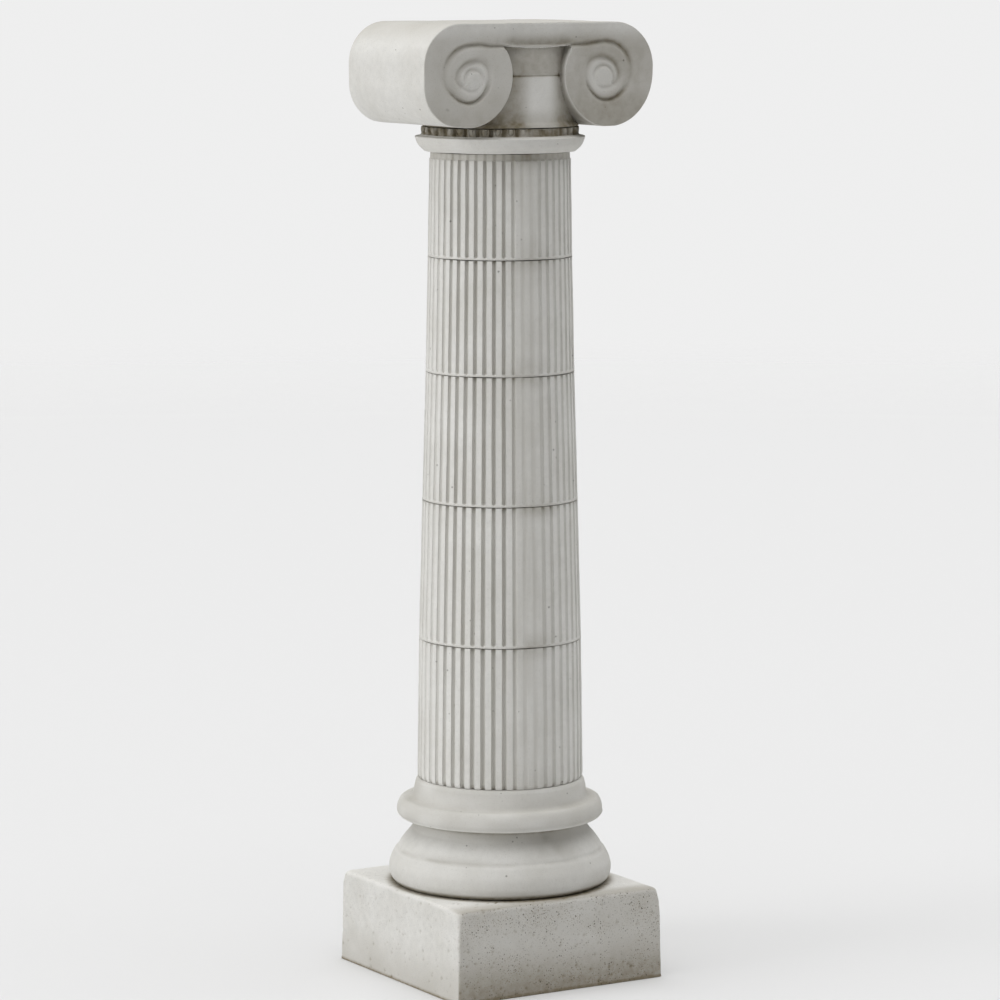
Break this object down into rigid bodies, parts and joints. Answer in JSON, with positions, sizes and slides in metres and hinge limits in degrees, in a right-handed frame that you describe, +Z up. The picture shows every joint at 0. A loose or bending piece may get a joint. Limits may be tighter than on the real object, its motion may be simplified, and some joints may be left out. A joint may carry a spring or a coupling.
{
  "type": "ionic column",
  "caption": "Free-standing stone column of the Ionic order: square plinth, moulded base, fluted shaft of stacked drums, egg-carved collar and a scrolled capital with a flat top.",
  "frame": {"origin": "centre of the plinth's underside, on the ground", "axes": "+Z up the column's axis, -Y out of the carved front of the capital, +X along that front to the right"},
  "size_m": [0.5, 0.45, 1.8],
  "materials": {
    "plinth_stone": "pale grey-beige cast stone, pitted, dull",
    "base_stone": "pale cast stone, rubbed smooth, a few pores",
    "shaft_stone": "pale cast stone with dirt in the flutes",
    "collar_stone": "pale cast stone, brown dirt in the carved band",
    "capital_stone": "pale cast stone, smooth, grey in the carved lines"
  },
  "bodies": {
    "root": {"plinth": "plinth_stone", "base": "base_stone", "drum_1": "shaft_stone", "drum_2": "shaft_stone", "drum_3": "shaft_stone", "drum_4": "shaft_stone", "drum_5": "shaft_stone", "collar": "collar_stone", "capital": "capital_stone"}
  },
  "joints": []
}
